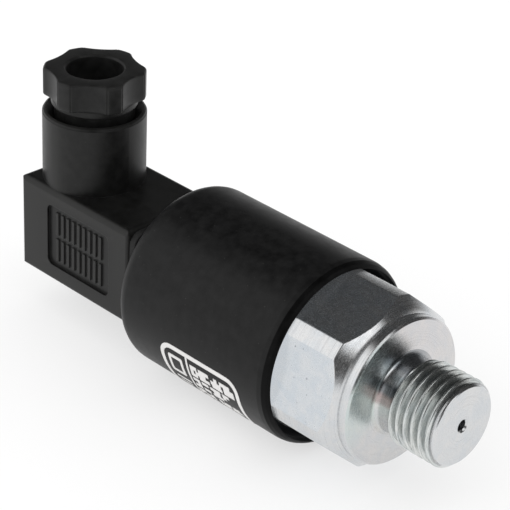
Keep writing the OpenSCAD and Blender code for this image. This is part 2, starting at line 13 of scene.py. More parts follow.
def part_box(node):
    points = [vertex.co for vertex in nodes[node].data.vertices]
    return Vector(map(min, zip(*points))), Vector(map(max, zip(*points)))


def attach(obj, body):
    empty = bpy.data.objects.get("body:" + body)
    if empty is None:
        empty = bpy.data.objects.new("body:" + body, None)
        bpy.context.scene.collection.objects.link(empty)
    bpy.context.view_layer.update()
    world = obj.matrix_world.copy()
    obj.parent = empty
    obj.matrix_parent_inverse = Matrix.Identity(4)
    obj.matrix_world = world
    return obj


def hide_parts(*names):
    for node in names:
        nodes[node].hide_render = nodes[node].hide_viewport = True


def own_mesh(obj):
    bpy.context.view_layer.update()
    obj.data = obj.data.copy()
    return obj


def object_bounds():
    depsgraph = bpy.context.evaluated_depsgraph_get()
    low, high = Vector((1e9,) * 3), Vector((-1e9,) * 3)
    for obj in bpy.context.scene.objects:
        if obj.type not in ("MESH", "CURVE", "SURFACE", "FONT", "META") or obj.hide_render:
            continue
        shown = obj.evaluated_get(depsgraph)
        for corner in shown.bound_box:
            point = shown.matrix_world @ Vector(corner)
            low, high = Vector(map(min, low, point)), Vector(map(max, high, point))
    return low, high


MM = 0.001
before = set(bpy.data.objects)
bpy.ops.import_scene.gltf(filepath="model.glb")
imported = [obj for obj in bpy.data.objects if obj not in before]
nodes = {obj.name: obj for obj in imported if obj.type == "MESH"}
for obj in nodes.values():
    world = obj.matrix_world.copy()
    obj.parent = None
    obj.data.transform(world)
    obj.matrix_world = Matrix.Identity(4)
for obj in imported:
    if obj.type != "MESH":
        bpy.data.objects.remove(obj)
cad_lo, cad_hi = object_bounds()


# --------------------------------------------------------------------------
# outlines and meshes
# --------------------------------------------------------------------------

def fillet(points, steps):
    """Rounds the corners of an open polyline of (a, b[, radius]) points."""
    out = []
    for i, point in enumerate(points):
        radius = point[2] if len(point) > 2 else 0.0
        corner = np.array(point[:2], float)
        if i in (0, len(points) - 1) or radius <= 0:
            out.append(tuple(corner))
            continue
        before = np.array(points[i - 1][:2], float) - corner
        after = np.array(points[i + 1][:2], float) - corner
        len_before, len_after = np.linalg.norm(before), np.linalg.norm(after)
        if len_before < 1e-9 or len_after < 1e-9:
            out.append(tuple(corner))
            continue
        before, after = before / len_before, after / len_after
        angle = math.acos(max(-1, min(1, float(before @ after))))
        if angle > math.pi - 0.05:                            # nearly straight
            out.append(tuple(corner))
            continue
        # the arc takes at most 0.45 of either side
        reach = min(radius / math.tan(angle / 2), len_before * 0.45, len_after * 0.45)
        radius = reach * math.tan(angle / 2)
        bisector = (before + after) / np.linalg.norm(before + after)
        centre = corner + bisector * (radius / math.sin(angle / 2))
        start, end = corner + before * reach, corner + after * reach
        first = math.atan2(*(start - centre)[::-1])
        last = math.atan2(*(end - centre)[::-1])
        sweep = (last - first + math.pi) % (2 * math.pi) - math.pi
        for k in range(steps + 1):
            turn = first + sweep * k / steps
            out.append((centre[0] + radius * math.cos(turn), centre[1] + radius * math.sin(turn)))
    return out


def subdivide(points, longest):
    """Adds points so that no straight run is longer than the given length."""
    out = [points[0]]
    for a, b in zip(points[:-1], points[1:]):
        count = max(1, int(math.ceil(math.hypot(b[0] - a[0], b[1] - a[1]) / longest)))
        for k in range(1, count + 1):
            out.append((a[0] + (b[0] - a[0]) * k / count, a[1] + (b[1] - a[1]) * k / count))
    return out


def even_angles(count):
    return np.linspace(0, 2 * math.pi, count, endpoint=False)


def rounded_rect_radius(angles, half_w, half_h, corner):
    """Distance from the centre to the edge of a rounded rectangle at each angle."""
    c, s = np.abs(np.cos(angles)), np.abs(np.sin(angles))
    straight = np.minimum(half_w / np.maximum(c, 1e-9), half_h / np.maximum(s, 1e-9))
    corner_x, corner_y = half_w - corner, half_h - corner
    in_corner = (straight * c > corner_x) & (straight * s > corner_y)
    along = c * corner_x + s * corner_y
    square = np.maximum(along ** 2 - (corner_x ** 2 + corner_y ** 2 - corner ** 2), 0)
    return np.where(in_corner, along + np.sqrt(square), straight)


def grid_faces(rows, columns, closed=True, start=0):
    """Quads between rows of points. Each row is a loop; closed joins the last row to the first."""
    faces = []
    for k in range(rows if closed else rows - 1):
        this, following = start + k * columns, start + (k + 1) % rows * columns
        for j in range(columns):
            j2 = (j + 1) % columns
            faces.append((this + j, this + j2, following + j2, following + j))
    return faces


def make_object(name, verts, faces, materials, face_materials=None, smooth=True, merge=1e-7):
    """Makes a clean mesh object with outward normals. verts and merge are in metres."""
    mesh = bpy.data.meshes.new(name)
    mesh.from_pydata([tuple(v) for v in verts], [], faces)
    mesh.validate()
    if face_materials is not None:
        mesh.polygons.foreach_set("material_index", np.array(face_materials, np.int32))
    bm = bmesh.new()
    bm.from_mesh(mesh)
    bmesh.ops.remove_doubles(bm, verts=bm.verts, dist=merge)
    bmesh.ops.dissolve_degenerate(bm, edges=bm.edges, dist=merge)
    loose = [v for v in bm.verts if not v.link_faces]
    bmesh.ops.delete(bm, geom=loose, context="VERTS")
    bmesh.ops.recalc_face_normals(bm, faces=bm.faces)
    if bm.calc_volume(signed=True) < 0:
        bmesh.ops.reverse_faces(bm, faces=bm.faces)
    for face in bm.faces:
        face.smooth = smooth
    bm.to_mesh(mesh)
    bm.free()
    obj = bpy.data.objects.new(name, mesh)
    bpy.context.scene.collection.objects.link(obj)
    for material in materials:
        mesh.materials.append(MATERIALS[material])
    return obj


class Rows:
    """Loops of points round an axis, joined in order and the last to the first."""

    def __init__(self, angles):
        self.angles = angles
        self.along, self.radii, self.materials = [], [], []

    def add(self, along, radius, material=0):
        """Adds one loop. Place along the axis and radius are single values or one per angle."""
        for values, new in ((self.along, along), (self.radii, radius)):
            values.append(np.broadcast_to(np.asarray(new, float), self.angles.shape))
        self.materials.append(material)

    def add_all(self, points):
        for along, radius in points:
            self.add(along, radius)

    def build(self, name, materials, axis="x", centre_x=0.0):
        along, radii = np.array(self.along), np.array(self.radii)
        a, b = radii * np.cos(self.angles)[None, :], radii * np.sin(self.angles)[None, :]
        verts = np.stack([along, a, b] if axis == "x" else [a, b, along], -1)
        verts = (verts.reshape(-1, 3) + np.array((centre_x, 0, 0))) * MM
        face_materials = None
        if any(self.materials):                   # each band takes the material of its first loop
            face_materials = np.repeat(self.materials, len(self.angles))
        faces = grid_faces(len(along), len(self.angles))
        return make_object(name, verts, faces, materials, face_materials)


def weighted(obj):
    modifier = obj.modifiers.new("weighted", "WEIGHTED_NORMAL")
    modifier.mode = "FACE_AREA_WITH_ANGLE"
    modifier.weight = 50
    modifier.keep_sharp = False
    return obj


def place(obj, group, node):
    """Puts the object in a moving group and in the place of a CAD piece."""
    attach(obj, group)
    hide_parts(node)


# --------------------------------------------------------------------------
# node trees
# --------------------------------------------------------------------------

class Graph:
    """Short calls for filling a node tree. Inputs may be sockets or plain values."""

    def __init__(self, owner):
        owner.use_nodes = True
        self.tree = owner.node_tree
        self.tree.nodes.clear()

    def node(self, kind, **settings):
        node = self.tree.nodes.new(kind)
        for key, value in settings.items():
            setattr(node, key, value)
        return node

    def put(self, socket, value):
        if hasattr(value, "links"):
            self.tree.links.new(value, socket)
        else:
            socket.default_value = value

    def math(self, operation, a, b=None, clamp=False):
        node = self.node("ShaderNodeMath", operation=operation, use_clamp=clamp)
        self.put(node.inputs[0], a)
        if b is not None:
            self.put(node.inputs[1], b)
        return node.outputs[0]

    def add(self, a, b, clamp=False):
        return self.math("ADD", a, b, clamp)

    def mul(self, a, b):
        return self.math("MULTIPLY", a, b)

    def vector(self, operation, a, b=None, scale=None):
        node = self.node("ShaderNodeVectorMath", operation=operation)
        self.put(node.inputs[0], a)
        if b is not None:
            self.put(node.inputs[1], b)
        if scale is not None:
            self.put(node.inputs["Scale"], scale)
        return node.outputs["Value" if operation == "DOT_PRODUCT" else 0]

    def separate(self, vector):
        node = self.node("ShaderNodeSeparateXYZ")
        self.put(node.inputs[0], vector)
        return node.outputs

    def combine(self, *values):
        node = self.node("ShaderNodeCombineXYZ")
        for socket, value in zip(node.inputs, values):
            self.put(socket, value)
        return node.outputs[0]

    def remap(self, value, source, target, interpolation="LINEAR"):
        """Maps the source range (from, to) to the target range (from, to)."""
        node = self.node("ShaderNodeMapRange", interpolation_type=interpolation)
        self.put(node.inputs[0], value)
        for i, limit in enumerate((*source, *target)):
            self.put(node.inputs[i + 1], limit)
        return node.outputs[0]

    def mix_shaders(self, factor, first, second):
        node = self.node("ShaderNodeMixShader")
        for socket, value in zip(node.inputs, (factor, first, second)):
            self.put(socket, value)
        return node.outputs[0]


class Surface(Graph):
    """A Principled material whose layers are added to colour, rough and normal.
    Textures use mm, the object's own coordinates in millimetres."""

    def __init__(self, name):
        self.material = bpy.data.materials.new(name)
        super().__init__(self.material)
        self.output = self.node("ShaderNodeOutputMaterial")
        self.principled = self.node("ShaderNodeBsdfPrincipled")
        self.put(self.output.inputs[0], self.principled.outputs[0])
        coords = self.node("ShaderNodeTexCoord")
        self.mm = self.vector("SCALE", coords.outputs["Object"], scale=1000.0)

    def noise(self, vector, scale, detail=4.0, rough=0.55, distortion=0.0):
        node = self.node("ShaderNodeTexNoise")
        self.put(node.inputs["Vector"], vector)
        node.inputs["Scale"].default_value = scale
        node.inputs["Detail"].default_value = detail
        node.inputs["Roughness"].default_value = rough
        node.inputs["Distortion"].default_value = distortion
        return node.outputs[0]

    def voronoi(self, scale, offset=None):
        """Distance to the nearest of scattered points."""
        vector = self.vector("ADD", self.mm, offset) if offset else self.mm
        node = self.node("ShaderNodeTexVoronoi", feature="F1")
        self.put(node.inputs["Vector"], vector)
        node.inputs["Scale"].default_value = scale
        return node.outputs["Distance"]

    def ramp(self, factor, *stops):
        """stops: (position, grey level or colour)."""
        node = self.node("ShaderNodeValToRGB")
        self.put(node.inputs[0], factor)
        elements = node.color_ramp.elements
        while len(elements) < len(stops):
            elements.new(0.5)
        for k, (position, colour) in enumerate(stops):
            elements[k].position = position
            rgb = colour if isinstance(colour, tuple) else (colour,) * 3
            elements[k].color = (*rgb, 1)
        return node.outputs[0]

    def mix(self, factor, first, second, blend="MIX"):
        node = self.node("ShaderNodeMix", data_type="RGBA", blend_type=blend)
        self.put(node.inputs[0], factor)
        for i, value in ((6, first), (7, second)):
            self.put(node.inputs[i], (*value, 1) if isinstance(value, tuple) else value)
        return node.outputs[2]

    def tone(self, factor, colour, blend="MIX"):
        """Lays a colour over the present one."""
        self.colour = self.mix(factor, self.colour, colour, blend)

    def roughen(self, amount, clamp=False):
        self.rough = self.add(self.rough, amount, clamp)

    def bump(self, height, strength, distance, normal=None):
        """distance is in metres. The new bump lies over the given normal."""
        node = self.node("ShaderNodeBump")
        node.inputs["Strength"].default_value = strength
        node.inputs["Distance"].default_value = distance
        self.put(node.inputs["Height"], height)
        if normal is not None:
            self.put(node.inputs["Normal"], normal)
        self.normal = node.outputs[0]

    def set(self, **values):
        for key, value in values.items():
            self.put(self.principled.inputs[key.replace("_", " ")], value)

    def find_radius(self):
        """Sets x, y, z and the distance from the X axis."""
        self.x, self.y, self.z = self.separate(self.mm)
        self.radius = self.math("SQRT", self.add(self.mul(self.y, self.y),
                                                 self.mul(self.z, self.z)))

    def turned_coords(self, round_scale):
        """Texture coordinates that change slowly round X, for marks that run round it."""
        angle = self.math("ARCTAN2", self.z, self.y)
        return self.combine(self.mul(self.x, 1.0), self.mul(self.radius, 1.0),
                            self.mul(angle, round_scale))


def scaled(colour, gain, lift=0.0):
    return tuple(min(1.0, gain * c + lift) for c in colour)


# --------------------------------------------------------------------------
# metal: a base and optional layers
# --------------------------------------------------------------------------

REFLECTION_PAINT_CENTRE = 145             # degrees round X, the middle of the tables of painted reflection bands
# (degrees round X, colour) of the painted reflection bands on the flange's face and on the thread
# relief, with a faint passivation tint on the face
FACE_REFLECTION_PAINT = [
    (-35, (1, 0.99, 0.98)), (60, (1, 0.96, 0.95)), (98, (0.97, 0.93, 0.92)),
    (122, (0.56, 0.62, 0.62)), (138, (0.86, 0.91, 0.90)), (154, (0.84, 0.93, 0.90)),
    (190, (0.92, 0.98, 0.95)), (214, (0.98, 0.96, 0.95)), (325, (1, 0.99, 0.98))]
NECK_REFLECTION_PAINT = [
    (-35, (0.9, 0.9, 0.9)), (88, (0.35, 0.38, 0.40)), (112, (0.30, 0.33, 0.36)),
    (121, (1, 1, 1)), (137, (1, 1, 1)), (142, (0.30, 0.32, 0.35)), (152, (0.32, 0.33, 0.35)),
    (158, (0.56, 0.43, 0.41)), (168, (0.62, 0.50, 0.48)), (174, (0.98, 0.98, 0.95)),
    (325, (0.9, 0.9, 0.9))]


def add_rings(mat, strength, scale, colour):
    """Lathe marks round X: relief, roughness and darker lines."""
    rings = mat.noise(mat.turned_coords(round_scale=0.04), scale=scale, detail=6.0, rough=0.7)
    mat.bump(rings, strength, 0.00003, mat.normal)
    mat.roughen(mat.remap(rings, (0.35, 0.7), (-0.05, 0.10)))
    mat.tone(mat.remap(rings, (0.5, 0.75), (0.0, 0.40)), scaled(colour, 0.60))


def add_painted_reflection(mat):
    """Painted reflection round the flange's face and the thread relief: light, dark and reddish
    bands by angle, with a faint passivation tint on the face.
    """
    c, s = math.cos(math.radians(REFLECTION_PAINT_CENTRE)), math.sin(math.radians(REFLECTION_PAINT_CENTRE))
    u = mat.add(mat.mul(mat.y, c), mat.mul(mat.z, s))
    v = mat.add(mat.mul(mat.y, -s), mat.mul(mat.z, c))
    turn = mat.add(mat.math("DIVIDE", mat.math("ARCTAN2", v, u), 2 * math.pi), 0.5)

    def ramp_round(table):
        stops = [((angle - REFLECTION_PAINT_CENTRE) / 360 + 0.5, colour) for angle, colour in table]
        return mat.ramp(turn, *stops)

    def above(value, limit):
        return mat.math("GREATER_THAN", value, limit)

    def below(value, limit):
        return mat.math("LESS_THAN", value, limit)

    face, neck = ramp_round(FACE_REFLECTION_PAINT), ramp_round(NECK_REFLECTION_PAINT)
    # masks in mm: close to x = 0 outside the relief, and along the relief
    on_face = mat.mul(below(mat.math("ABSOLUTE", mat.x), 0.25), above(mat.radius, 5.75))
    on_neck = mat.mul(mat.mul(above(mat.x, 0.02), below(mat.x, 2.9)), below(mat.radius, 6.5))
    # painted reflection bands, multiplied into the colour of the face and of the relief
    mat.tone(mat.mul(on_face, 0.9), face, "MULTIPLY")
    mat.tone(mat.mul(on_neck, 0.85), neck, "MULTIPLY")


def add_root_shade_and_stains(mat, root_r, crest_r):
    """Paints shade into the bottom of a thread and adds stains that run round it."""
    # painted shade: darker towards the thread's root
    mat.tone(mat.remap(mat.radius, (root_r, crest_r), (0.40, 0.0)), (0.16, 0.18, 0.18))
    stain = mat.noise(mat.turned_coords(round_scale=0.22), scale=6.5, detail=5.0, rough=0.7)
    mat.tone(mat.ramp(stain, (0.50, 0.0), (0.62, 0.62)), (0.17, 0.20, 0.20))
    mat.roughen(mat.remap(stain, (0.4, 0.65), (-0.06, 0.12)))


def add_painted_sparkle(mat, strength):
    """Painted glints of the plating's crystals: pale dots in patches, over a coarse relief."""
    dots = mat.ramp(mat.voronoi(scale=5.5), (0.05, 1.0), (0.16, 0.0))
    patches = mat.ramp(mat.noise(mat.mm, scale=2.2, detail=3.0, rough=0.6),
                       (0.42, 0.0), (0.60, 1.0))
    specks = mat.mul(dots, patches)
    relief = mat.noise(mat.mm, scale=5.0, detail=5.0, rough=0.75)
    mat.bump(relief, strength, 0.00006, mat.normal)
    mat.roughen(mat.mul(specks, 0.35), clamp=True)
    # painted glints: the pale dots go into the colour
    mat.tone(mat.mul(specks, 0.50), (0.90, 0.92, 0.94))


def add_stains(mat, strength):
    """A few dark spots with uneven edges."""
    distance = mat.voronoi(scale=0.62, offset=(1.3, 4.1, 2.2))
    warp = mat.noise(mat.mm, scale=3.0, detail=3.0, rough=0.6)
    distance = mat.add(distance, mat.mul(warp, 0.10))
    shifted = mat.vector("ADD", mat.mm, (9.0, 2.0, 5.0))
    patches = mat.ramp(mat.noise(shifted, scale=0.32, detail=2.0, rough=0.5),
                       (0.44, 0.0), (0.50, 1.0))
    spots = mat.mul(mat.ramp(distance, (0.13, 1.0), (0.175, 0.0)), patches)
    mat.tone(mat.mul(spots, strength), (0.30, 0.32, 0.35))
    mat.roughen(mat.mul(spots, 0.15), clamp=True)


def add_scratches(mat, strength):
    """Fine lines along X."""
    stretched = mat.vector("MULTIPLY", mat.mm, (0.35, 9.0, 9.0))
    noise = mat.noise(stretched, scale=1.3, detail=3.0, rough=0.7, distortion=0.3)
    lines = mat.ramp(noise, (0.60, 0.0), (0.66, 1.0), (0.72, 0.0))
    mat.bump(lines, strength, 0.00002, mat.normal)
    mat.roughen(mat.mul(lines, 0.12), clamp=True)


def metal(name, colour, other, rough, rings=0.0, ring_scale=9.0, sparkle=0.0, scratch=0.0,
          aniso=0.0, painted_reflection=False, root_shade=None, stains=0.0):
    """Plated or turned metal that varies between two colours. root_shade: root and crest radius of
    the painted shade in a thread's roots.
    """
    mat = Surface(name)
    patina = mat.noise(mat.mm, scale=0.45, detail=3.0, rough=0.5, distortion=0.6)
    fine = mat.noise(mat.mm, scale=7.0, detail=4.0, rough=0.6)
    mat.colour = mat.mix(mat.ramp(patina, (0.35, 0.0), (0.65, 1.0)), colour, other)
    mat.tone(mat.ramp(fine, (0.40, 0.0), (0.72, 0.28)), scaled(colour, 0.68))
    mat.rough = mat.remap(mat.noise(mat.mm, scale=1.6, detail=5.0, rough=0.6),
                          (0.3, 0.7), (rough * 0.85, rough * 1.2))
    grain = mat.noise(mat.mm, scale=14.0, detail=3.0, rough=0.6)
    mat.bump(grain, strength=0.08, distance=0.00002)
    if rings or painted_reflection or root_shade:
        mat.find_radius()
    if rings:
        add_rings(mat, rings, ring_scale, colour)
    if painted_reflection:
        add_painted_reflection(mat)
    if root_shade:
        add_root_shade_and_stains(mat, *root_shade)
    if sparkle:
        add_painted_sparkle(mat, sparkle)
    if stains:
        add_stains(mat, stains)
    if scratch:
        add_scratches(mat, scratch)
    mat.set(Base_Color=mat.colour, Metallic=1.0, Roughness=mat.rough, Normal=mat.normal)
    if aniso:
        tangent = mat.node("ShaderNodeTangent", direction_type="RADIAL", axis="X")
        mat.set(Anisotropic=aniso, Anisotropic_Rotation=0.25, Tangent=tangent.outputs[0])
    return mat


# --------------------------------------------------------------------------
# plastic and rubber
# --------------------------------------------------------------------------

def add_painted_edge_highlight(mat, strength, colour):
    # painted highlight: the sharper edges take a paler colour
    geometry = mat.node("ShaderNodeNewGeometry")
    edges = mat.remap(geometry.outputs["Pointiness"], (0.50, 0.56), (0.0, 1.0))
    mat.tone(mat.mul(edges, strength), colour)


def add_streaks(mat, strength):
    """Faint relief that changes along X only slowly round it."""
    x, y, z = mat.separate(mat.mm)
    vector = mat.combine(mat.mul(x, 1.0), mat.mul(y, 0.02), mat.mul(z, 0.02))
    noise = mat.noise(vector, scale=4.0, detail=4.0, rough=0.6)
    mat.bump(noise, strength, 0.00003, mat.normal)


def add_dust(mat, strength):
    """Sparse grey specks in two sizes."""
    large = mat.ramp(mat.voronoi(scale=0.9), (0.020, 1.0), (0.045, 0.0))
    small = mat.ramp(mat.voronoi(scale=2.3, offset=(3.7, 1.9, 8.3)), (0.02, 1.0), (0.06, 0.0))
    specks = mat.mul(mat.math("MAXIMUM", large, mat.mul(small, 0.5)), strength)
    mat.tone(specks, (0.42, 0.41, 0.39))
    mat.roughen(mat.mul(specks, 0.3), clamp=True)


def plastic(name, colour, rough, grain=0.25, grain_scale=11.0, dust=0.0, spec=0.5, edge=0.35,
            edge_highlight_colour=None, mottled=0.25, streak=0.0, mouth_shade_x=None):
    """Moulded plastic or rubber with a fine grain, faint mottling, a painted highlight on the edges
    and a little dust.
    In front (+X) of mouth_shade_x the colour and the sheen are darkened: painted shade on the
    sleeve's mouth."""
    mat = Surface(name)
    fine = mat.noise(mat.mm, scale=grain_scale, detail=5.0, rough=0.62)
    broad = mat.noise(mat.mm, scale=0.7, detail=3.0, rough=0.5)
    mat.colour = mat.mix(mat.ramp(broad, (0.32, 0.0), (0.70, 1.0)),
                         scaled(colour, 1 - mottled), scaled(colour, 1 + mottled, 0.004))
    mat.tone(mat.ramp(fine, (0.52, 0.0), (0.75, 0.35)), scaled(colour, 1.8, 0.01))
    # edge: strength of the painted edge highlight
    if edge:
        add_painted_edge_highlight(mat, edge, edge_highlight_colour or scaled(colour, 2.2, 0.02))
    mat.rough = mat.remap(broad, (0.3, 0.7), (rough * 0.92, rough * 1.10))
    mat.roughen(mat.remap(fine, (0.3, 0.7), (-0.04, 0.05)))
    bevel = mat.node("ShaderNodeBevel", samples=4)
    bevel.inputs["Radius"].default_value = 0.00018            # metres
    mat.bump(fine, grain, 0.00003, bevel.outputs[0])
    if streak:
        add_streaks(mat, streak)
    if dust:
        add_dust(mat, dust)
    mat.set(Roughness=mat.rough, Normal=mat.normal, Specular_IOR_Level=spec)
    # painted shade: in front of mouth_shade_x the colour and the sheen are darkened, for the shaded
    # mouth of the sleeve
    if mouth_shade_x is not None:
        mouth_shade = mat.remap(mat.separate(mat.mm)[0], (mouth_shade_x - 0.04, mouth_shade_x + 0.04), (1.0, 0.42))
        mat.tone(1.0, mat.combine(mouth_shade, mouth_shade, mouth_shade), "MULTIPLY")
        mat.set(Specular_IOR_Level=mat.mul(mouth_shade, spec))
    mat.set(Base_Color=mat.colour)
    return mat


def paint_mouth_glow(mat):
    """Close to the sleeve's mouth the polished flats would mirror it as a hard dark band. Plating
    scatters more than that, so a reflection is painted in: the sleeve's front glows for short
    mirrored rays from the flats, with a share of the studio's light. Lengths are in metres."""
    path = mat.node("ShaderNodeLightPath")
    geometry = mat.node("ShaderNodeNewGeometry")
    incoming = mat.separate(geometry.outputs["Incoming"])
    position = mat.separate(geometry.outputs["Position"])
    short = mat.remap(path.outputs["Ray Length"], (0.0030, 0.0045), (1.0, 0.0))
    front = mat.remap(position[0], (-0.0155, -0.0145), (0.0, 1.0))
    gate = mat.mul(mat.mul(path.outputs["Is Glossy Ray"], short), front)
    glow = mat.node("ShaderNodeEmission")
    glow.inputs["Color"].default_value = (0.98, 0.99, 1.0, 1)
    mat.put(glow.inputs["Strength"], mat.remap(incoming[1], (0.15, 0.45), (0.07, 0.92)))
    shader = mat.mix_shaders(gate, mat.principled.outputs[0], glow.outputs[0])
    mat.put(mat.output.inputs[0], shader)


# --------------------------------------------------------------------------
# the finishes, by material name
# --------------------------------------------------------------------------

METALS = {
    "zinc_turned": dict(colour=(0.64, 0.66, 0.68), other=(0.69, 0.69, 0.69), rough=0.22,
                        rings=0.50, aniso=0.45, painted_reflection=True),
    "zinc_flat": dict(colour=(0.60, 0.64, 0.68), other=(0.66, 0.68, 0.70), rough=0.25,
                      sparkle=0.22, scratch=0.12, stains=0.65),
    "zinc_thread": dict(colour=(0.66, 0.69, 0.69), other=(0.74, 0.75, 0.73), rough=0.20,
                        rings=0.45, ring_scale=11.0, root_shade=(5.75, 6.35), aniso=0.2),
    "hard_steel": dict(colour=(0.60, 0.61, 0.64), other=(0.68, 0.69, 0.71), rough=0.18,
                       rings=0.12, scratch=0.1),
    "grey_steel": dict(colour=(0.52, 0.53, 0.55), other=(0.60, 0.61, 0.62), rough=0.32,
                       rings=0.5),
    "spring_wire": dict(colour=(0.32, 0.33, 0.35), other=(0.42, 0.42, 0.43), rough=0.30,
                        scratch=0.3),
    "brass": dict(colour=(0.80, 0.62, 0.30), other=(0.86, 0.70, 0.40), rough=0.24, rings=0.35),
    "tinned_brass": dict(colour=(0.82, 0.80, 0.72), other=(0.86, 0.82, 0.68), rough=0.30,
                         scratch=0.2),
    "contact_bronze": dict(colour=(0.82, 0.56, 0.33), other=(0.88, 0.64, 0.42), rough=0.28,
                           scratch=0.25),
    "zinc_screw": dict(colour=(0.70, 0.72, 0.76), other=(0.78, 0.78, 0.78), rough=0.28,
                       rings=0.3, sparkle=0.05),
}
PLASTICS = {
    "black_sleeve": dict(colour=(0.0038, 0.0038, 0.0039), rough=0.42, grain=0.20,
                         grain_scale=9.0, dust=0.22, spec=0.195, edge=0.30, mottled=0.22,
                         streak=0.08, mouth_shade_x=-13.46),
    "black_plug": dict(colour=(0.0036, 0.0036, 0.0034), rough=0.40, grain=0.16,
                       grain_scale=12.0, dust=0.12, spec=0.28, edge=0.45,
                       edge_highlight_colour=(0.016, 0.016, 0.015)),
    "black_nut": dict(colour=(0.0068, 0.0068, 0.0066), rough=0.40, grain=0.14,
                      grain_scale=12.0, dust=0.08, spec=0.24, edge=0.5,
                      edge_highlight_colour=(0.022, 0.022, 0.021)),
    "black_base": dict(colour=(0.0045, 0.0045, 0.0045), rough=0.46, grain=0.2, spec=0.30,
                       edge=0.25),
    "black_rubber": dict(colour=(0.0075, 0.0075, 0.0075), rough=0.62, grain=0.35,
                         grain_scale=16.0, spec=0.25, edge=0.2),
    "white_ring": dict(colour=(0.82, 0.82, 0.78), rough=0.45, grain=0.15, spec=0.4, edge=0.1,
                       edge_highlight_colour=(0.9, 0.9, 0.88), mottled=0.04),
    "natural_plastic": dict(colour=(0.62, 0.59, 0.50), rough=0.45, grain=0.2, edge=0.2,
                            edge_highlight_colour=(0.8, 0.78, 0.7), mottled=0.06),
    "switch_plastic": dict(colour=(0.020, 0.020, 0.023), rough=0.42, grain=0.25),
    "button_plastic": dict(colour=(0.55, 0.05, 0.03), rough=0.30, grain=0.1, mottled=0.10),
    "insert_plastic": dict(colour=(0.10, 0.105, 0.115), rough=0.48, grain=0.25),
    "wire_insulation": dict(colour=(0.42, 0.05, 0.04), rough=0.38, grain=0.1, mottled=0.10),
    "white_print": dict(colour=(0.74, 0.73, 0.72), rough=0.55, grain=0.25, grain_scale=14.0,
                        spec=0.3, edge=0.0, mottled=0.03),
}
# material: the CAD pieces it goes on
PIECES = {
    "zinc_turned": "body_hex",
    "hard_steel": "piston push_rod",
    "grey_steel": "spring_seat thrust_ring screw_washer",
    "spring_wire": "adjusting_spring",
    "brass": "guide_bush adjusting_screw threaded_insert",
    "tinned_brass": "terminal_common terminal_no terminal_nc contact_blades earth_blade "
                    "plug_contacts plug_earth_contact",
    "contact_bronze": "contact_arm earth_strap",
    "zinc_screw": "switch_screws terminal_screws fixing_screw",
    "black_sleeve": "sleeve_housing",
    "black_plug": "plug_housing",
    "black_nut": "gland_nut",
    "black_base": "connector_base",
    "black_rubber": "piston_seal sleeve_seal flange_gasket gland_seal",
    "white_ring": "backup_ring",
    "natural_plastic": "switch_carrier gland_washer",
    "switch_plastic": "switch_case switch_cover",
    "button_plastic": "switch_button",
    "insert_plastic": "plug_insert",
    "wire_insulation": "lead_wires",
    "white_print": "type_label",
}
surfaces = {name: metal(name, **look) for name, look in METALS.items()}
surfaces.update({name: plastic(name, **look) for name, look in PLASTICS.items()})
paint_mouth_glow(surfaces["black_sleeve"])
MATERIALS = {name: surface.material for name, surface in surfaces.items()}
material_of = {piece: name for name, pieces in PIECES.items() for piece in pieces.split()}
for piece, obj in nodes.items():
    obj.data.materials.clear()
    obj.data.materials.append(MATERIALS[material_of[piece]])

# --------------------------------------------------------------------------
# steel body: stud with a helical thread, relief, flange, hexagon with turned corners
# --------------------------------------------------------------------------
PITCH = 1.337
CREST_R = 6.5785
THREAD_X = 5.29 - PITCH * 150 / 360       # centre of a groove at angle 0
STUD_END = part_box("body_hex")[1].x / MM
END_R = 5.80                  # flat end of the stud, inside its chamfer
END_CHAMFER = 0.42
INLET_R = 0.8
INLET_BACK = 7.0              # where the inlet meets the wider bore
BORE_R = 3.0
NECK_R = 5.65                 # thread relief
NECK_END = 2.62
FLANGE_R = 11.2
CONE_X, CONE_R = -1.70, FLANGE_R + 0.08   # start of the cone up to the hexagon
HEX_R = 12.0                  # across flats / 2
TURN_R = 13.175               # turned corners
HEX_BACK = -14.4
HEX_EDGE = 0.10               # size of the rounding between cone and flats
FLAT_ANGLE = 48               # degrees, the middle of one flat
CORNER = math.degrees(math.acos(HEX_R / TURN_R))    # from mid-flat to the corner strip
# half of the thread groove: (distance from its centre, radius)
GROOVE = np.array([
    (0, 5.722), (.08, 5.722), (.12, 5.742), (.16, 5.81), (.27, 6.02), (.39, 6.25), (.50, 6.46),
    (.54, 6.525), (.58, 6.562), (.62, CREST_R)])
TURNED, FLAT, THREAD = range(3)           # material slots of the body


def from_mid_flat(degrees):
    return (degrees - FLAT_ANGLE + 30) % 60 - 30


def add_thread(rows, degrees):
    """Rows that follow the helix, clipped to the stud's end chamfer and to the relief."""
    helix = THREAD_X + PITCH * degrees / 360
    offsets = np.concatenate([GROOVE[:0:-1, 0], -GROOVE[:, 0]])
    for turn in range(5, -5, -1):
        for offset in offsets:
            x = np.clip(helix + turn * PITCH + offset, NECK_END, STUD_END - END_CHAMFER)
            from_groove = np.abs((x - helix + PITCH / 2) % PITCH - PITCH / 2)
            radius = np.interp(from_groove, [*GROOVE[:, 0], PITCH / 2], [*GROOVE[:, 1], CREST_R])
            radius = np.minimum(radius, END_R + (STUD_END - x))
            radius = np.minimum(radius, NECK_R + (x - NECK_END) * 1.25)
            rows.add(x, radius, THREAD)


